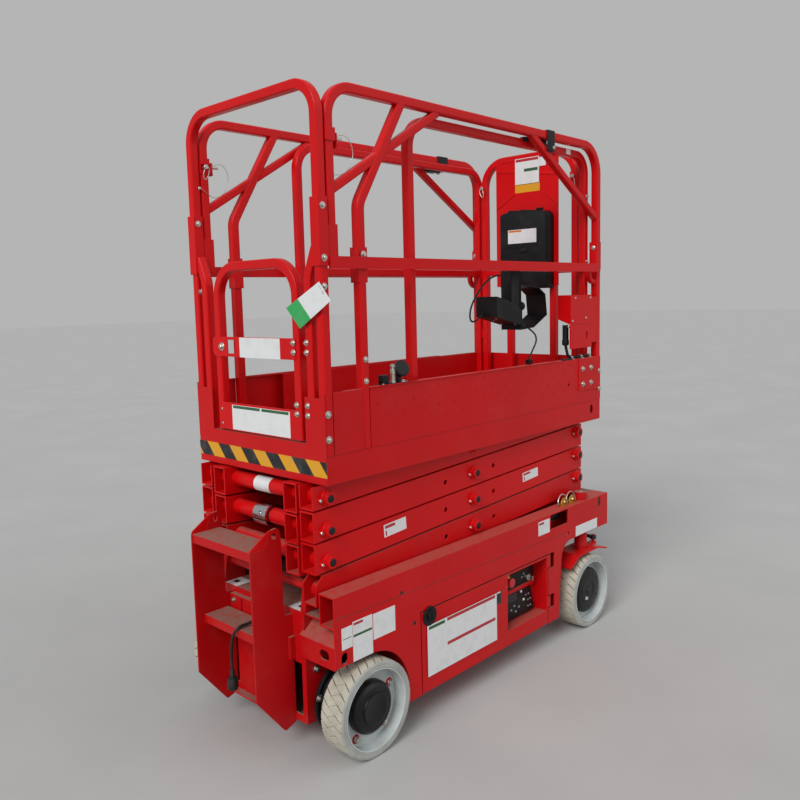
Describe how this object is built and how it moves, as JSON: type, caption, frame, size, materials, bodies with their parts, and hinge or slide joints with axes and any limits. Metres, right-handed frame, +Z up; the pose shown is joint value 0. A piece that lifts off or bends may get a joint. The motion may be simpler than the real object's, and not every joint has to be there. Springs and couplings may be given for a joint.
{
  "type": "scissor lift",
  "caption": "Slab electric scissor lift with a guarded roll-out platform, swing-out trays and an entry ladder.",
  "frame": {"origin": "centre of the overall bounding box, on the floor", "axes": "+X forwards to the steered end, +Y to the machine's left, +Z up"},
  "size_m": [1.844, 0.83, 2.15],
  "materials": {
    "red_paint": "satin powder coat, bright red",
    "black_paint": "satin black paint",
    "grey_paint": "light grey enamel",
    "tyre": "non-marking solid rubber, off-white",
    "chrome_rod": "ground hard chrome",
    "battery_case": "moulded polypropylene",
    "black_plastic": "textured moulded plastic",
    "cord_rubber": "rubber sheath"
  },
  "bodies": {
    "chassis": {"chassis_core": "red_paint", "slide_guides": "red_paint", "chassis_side_left": "red_paint", "chassis_side_right": "red_paint", "entry_ladder": "red_paint", "rear_axle": "black_paint", "power_cord": "cord_rubber", "power_plug": "black_plastic"},
    "arm_outer_1": {"arm_outer_1": "red_paint"},
    "arm_inner_1": {"arm_inner_1": "red_paint"},
    "arm_outer_2": {"arm_outer_2": "red_paint"},
    "arm_inner_2": {"arm_inner_2": "red_paint"},
    "arm_outer_3": {"arm_outer_3": "red_paint"},
    "arm_inner_3": {"arm_inner_3": "red_paint"},
    "arm_outer_4": {"arm_outer_4": "red_paint"},
    "arm_inner_4": {"arm_inner_4": "red_paint"},
    "lift_barrel": {"lift_barrel": "black_paint"},
    "lift_rod": {"lift_rod": "chrome_rod"},
    "platform": {"platform_deck": "red_paint", "lower_rail_left": "red_paint", "lower_rail_right": "red_paint", "entry_frame": "red_paint", "upper_frame_left": "red_paint", "upper_frame_right": "red_paint", "upper_frame_rear": "red_paint", "outlet_boxes": "red_paint"},
    "entry_gate": {"entry_gate": "red_paint"},
    "extension": {"extension_deck": "red_paint", "extension_guardrail": "red_paint", "front_panel": "red_paint", "document_box": "black_plastic", "control_box": "black_plastic", "control_cable": "cord_rubber", "control_loop": "cord_rubber"},
    "tray_left": {"tray_left": "red_paint", "batteries_left": "battery_case"},
    "tray_right": {"tray_right": "red_paint", "batteries_right": "battery_case", "ground_controls": "black_plastic"},
    "knuckle_left": {"knuckle_left": "black_paint"},
    "knuckle_right": {"knuckle_right": "black_paint"},
    "tie_rod": {"tie_rod": "black_paint"},
    "wheel_rear_left": {"tyre_rear_left": "tyre", "rim_rear_left": "grey_paint"},
    "wheel_rear_right": {"tyre_rear_right": "tyre", "rim_rear_right": "grey_paint"},
    "wheel_front_left": {"tyre_front_left": "tyre", "rim_front_left": "grey_paint"},
    "wheel_front_right": {"tyre_front_right": "tyre", "rim_front_right": "grey_paint"}
  },
  "joints": [
    {"name": "lift", "type": "hinge", "parent": "chassis", "child": "arm_outer_1", "pos_m": [-0.72, 0, 0.559], "axis": [0, -1, 0], "range_deg": [0, 53]},
    {"name": "level_1_cross", "type": "hinge", "parent": "arm_outer_1", "child": "arm_inner_1", "pos_m": [0.03022, 0, 0.61065], "axis": [0, -1, 0], "range_deg": [-106, 0]},
    {"name": "level_2_rear", "type": "hinge", "parent": "arm_inner_1", "child": "arm_outer_2", "pos_m": [-0.72, 0, 0.6623], "axis": [0, -1, 0], "range_deg": [0, 106]},
    {"name": "level_2_cross", "type": "hinge", "parent": "arm_outer_2", "child": "arm_inner_2", "pos_m": [0.03022, 0, 0.71395], "axis": [0, -1, 0], "range_deg": [-106, 0]},
    {"name": "level_3_rear", "type": "hinge", "parent": "arm_inner_2", "child": "arm_outer_3", "pos_m": [-0.72, 0, 0.7656], "axis": [0, -1, 0], "range_deg": [0, 106]},
    {"name": "level_3_cross", "type": "hinge", "parent": "arm_outer_3", "child": "arm_inner_3", "pos_m": [0.03022, 0, 0.81725], "axis": [0, -1, 0], "range_deg": [-106, 0]},
    {"name": "level_4_rear", "type": "hinge", "parent": "arm_inner_3", "child": "arm_outer_4", "pos_m": [-0.72, 0, 0.8689], "axis": [0, -1, 0], "range_deg": [0, 106]},
    {"name": "level_4_cross", "type": "hinge", "parent": "arm_outer_4", "child": "arm_inner_4", "pos_m": [0.03022, 0, 0.92055], "axis": [0, -1, 0], "range_deg": [-106, 0]},
    {"name": "platform_rear", "type": "hinge", "parent": "arm_inner_4", "child": "platform", "pos_m": [-0.72, 0, 0.9722], "axis": [0, -1, 0], "range_deg": [0, 53]},
    {"name": "lift_barrel_pivot", "type": "hinge", "parent": "arm_inner_1", "child": "lift_barrel", "pos_m": [0.78045, 0, 0.559], "axis": [0, 1, 0], "range_deg": [0, 11.14]},
    {"name": "lift_rod_slide", "type": "slide", "parent": "lift_barrel", "child": "lift_rod", "axis": [-0.9907, 0, 0.1364], "range_m": [0, 1.137]},
    {"name": "extension_slide", "type": "slide", "parent": "platform", "child": "extension", "axis": [1, 0, 0], "range_m": [0, 0.9]},
    {"name": "gate_swing", "type": "hinge", "parent": "platform", "child": "entry_gate", "pos_m": [-0.713, -0.255, 1.2], "axis": [0, 0, -1], "range_deg": [0, 90]},
    {"name": "tray_left_swing", "type": "hinge", "parent": "chassis", "child": "tray_left", "pos_m": [0.441, 0.379, 0.3], "axis": [0, 0, -1], "range_deg": [0, 90]},
    {"name": "tray_right_swing", "type": "hinge", "parent": "chassis", "child": "tray_right", "pos_m": [0.441, -0.379, 0.3], "axis": [0, 0, 1], "range_deg": [0, 90]},
    {"name": "steer", "type": "hinge", "parent": "chassis", "child": "knuckle_left", "pos_m": [0.742, 0.355, 0.4], "axis": [0, 0, 1], "range_deg": [-60, 60]},
    {"name": "steer_right", "type": "hinge", "parent": "chassis", "child": "knuckle_right", "pos_m": [0.742, -0.355, 0.4], "axis": [0, 0, 1], "range_deg": [-60, 60]},
    {"name": "tie_rod_eye", "type": "hinge", "parent": "knuckle_left", "child": "tie_rod", "pos_m": [0.852, 0.355, 0.374], "axis": [0, 0, 1], "range_deg": [-60, 60]},
    {"name": "wheel_rear_left_spin", "type": "hinge", "parent": "chassis", "child": "wheel_rear_left", "pos_m": [-0.626, 0.365, 0.1615], "axis": [0, 1, 0], "continuous": true},
    {"name": "wheel_rear_right_spin", "type": "hinge", "parent": "chassis", "child": "wheel_rear_right", "pos_m": [-0.626, -0.365, 0.1615], "axis": [0, 1, 0], "continuous": true},
    {"name": "wheel_front_left_spin", "type": "hinge", "parent": "knuckle_left", "child": "wheel_front_left", "pos_m": [0.742, 0.365, 0.1615], "axis": [0, 1, 0], "continuous": true},
    {"name": "wheel_front_right_spin", "type": "hinge", "parent": "knuckle_right", "child": "wheel_front_right", "pos_m": [0.742, -0.365, 0.1615], "axis": [0, 1, 0], "continuous": true}
  ],
  "couplings": [
    {"joint": "level_1_cross", "follows": "lift", "ratio": -2},
    {"joint": "level_2_rear", "follows": "lift", "ratio": 2},
    {"joint": "level_2_cross", "follows": "lift", "ratio": -2},
    {"joint": "level_3_rear", "follows": "lift", "ratio": 2},
    {"joint": "level_3_cross", "follows": "lift", "ratio": -2},
    {"joint": "level_4_rear", "follows": "lift", "ratio": 2},
    {"joint": "level_4_cross", "follows": "lift", "ratio": -2},
    {"joint": "platform_rear", "follows": "lift", "ratio": 1},
    {"joint": "lift_barrel_pivot", "follows": "lift", "ratio": 0.21003},
    {"joint": "lift_rod_slide", "follows": "lift", "m_per_rad": 1.2286},
    {"joint": "steer_right", "follows": "steer", "ratio": 1},
    {"joint": "tie_rod_eye", "follows": "steer", "ratio": -1}
  ]
}
